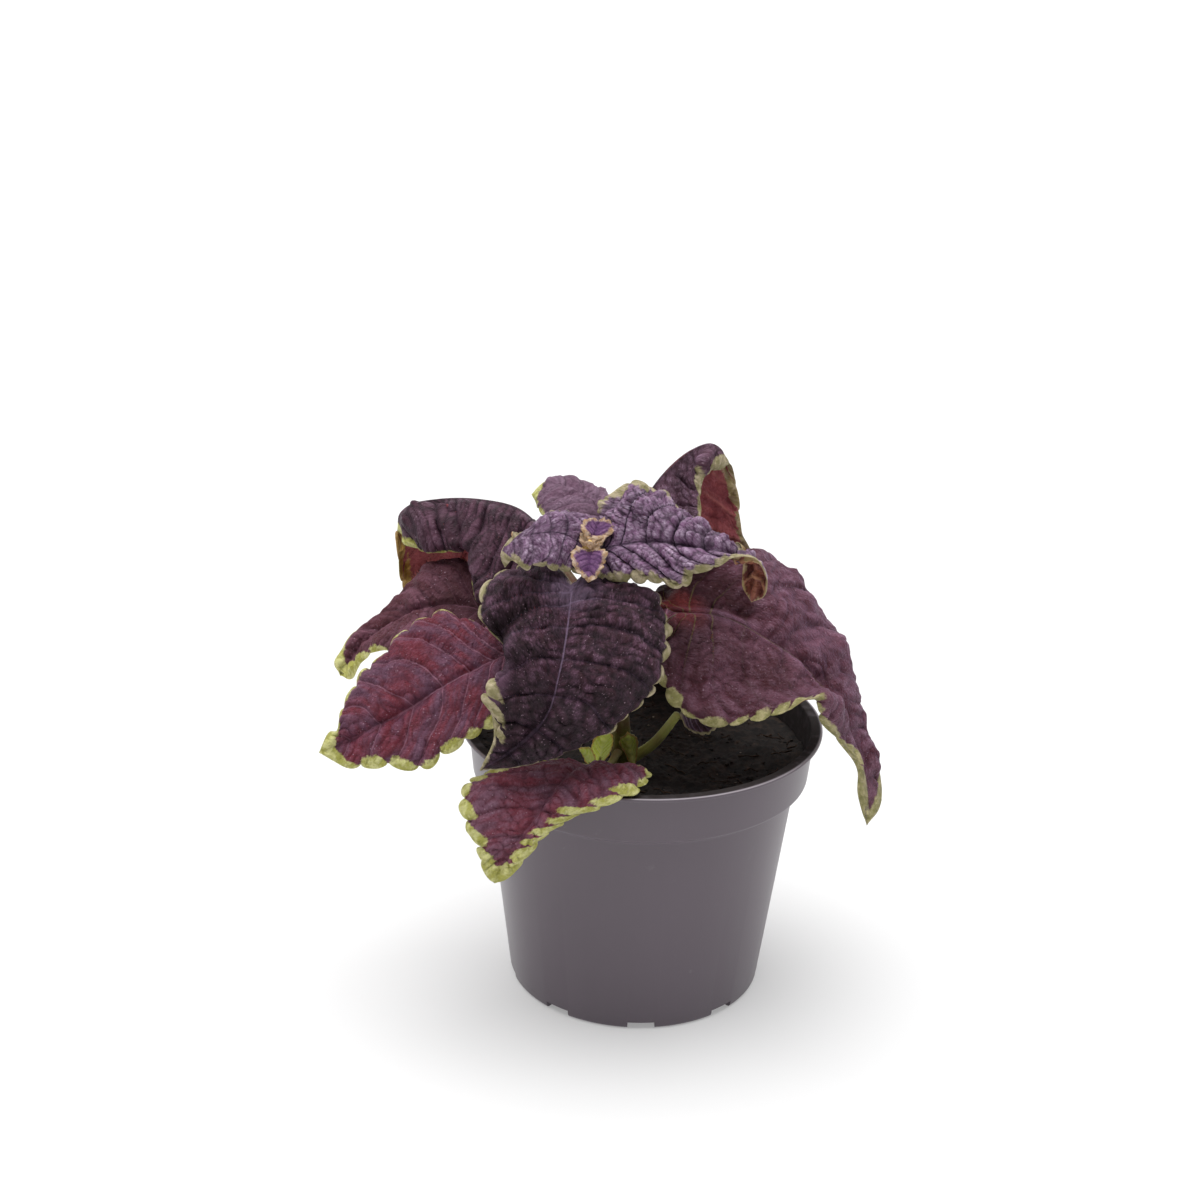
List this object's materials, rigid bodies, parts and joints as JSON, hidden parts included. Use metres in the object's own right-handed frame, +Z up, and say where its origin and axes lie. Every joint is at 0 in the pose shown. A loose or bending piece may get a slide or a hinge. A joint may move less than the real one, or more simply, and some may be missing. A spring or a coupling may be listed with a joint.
{
  "type": "potted coleus",
  "caption": "Young purple-leaved coleus with lime-edged drooping leaves, growing in a round plastic grower's pot filled with compost.",
  "frame": {"origin": "middle of the pot's base, where its flat underside meets the surface it stands on", "axes": "+Z up along the pot's axis; +X to the right as seen from the front; +Y away from the front, where the lowest leaf hangs over the rim towards -Y"},
  "size_m": [0.1789, 0.1301, 0.1831],
  "materials": {
    "pot_plastic": "satin moulded polypropylene, taupe grey with a slight purple tint",
    "compost": "moist peat-like potting compost, nearly black with a few paler bits",
    "stem": "smooth fresh olive-green stem with a faint purple flush",
    "leaf_dark": "dark purple leaf with a soft sheen, sunk veins and a narrow pale green toothed margin",
    "leaf_red": "maroon leaf with a purple sheen, sunk veins and a lime-green toothed margin",
    "leaf_young": "young violet leaf, quilted between its veins, with a beige-green margin",
    "leaf_green": "small fresh yellow-green leaf",
    "bud": "downy yellowish growing tip"
  },
  "bodies": {
    "root": {"pot": "pot_plastic", "compost": "compost", "stem_main": "stem", "stem_shoot": "stem", "leaf_front_dark": "leaf_dark", "leaf_left_red": "leaf_red", "leaf_left_low": "leaf_dark", "leaf_left_high": "leaf_dark", "leaf_back_left": "leaf_dark", "leaf_top_left": "leaf_young", "leaf_top_right": "leaf_young", "leaf_back_right": "leaf_dark", "leaf_right_large": "leaf_red", "leaf_front_low": "leaf_red", "leaf_back_low": "leaf_dark", "leaf_tip_upper": "leaf_young", "leaf_tip_lower": "leaf_young", "leaf_shoot_right": "leaf_young", "leaf_green_small": "leaf_green", "leaf_green_tiny": "leaf_green", "leaf_sprout": "leaf_green", "growing_tip": "bud"}
  },
  "joints": []
}
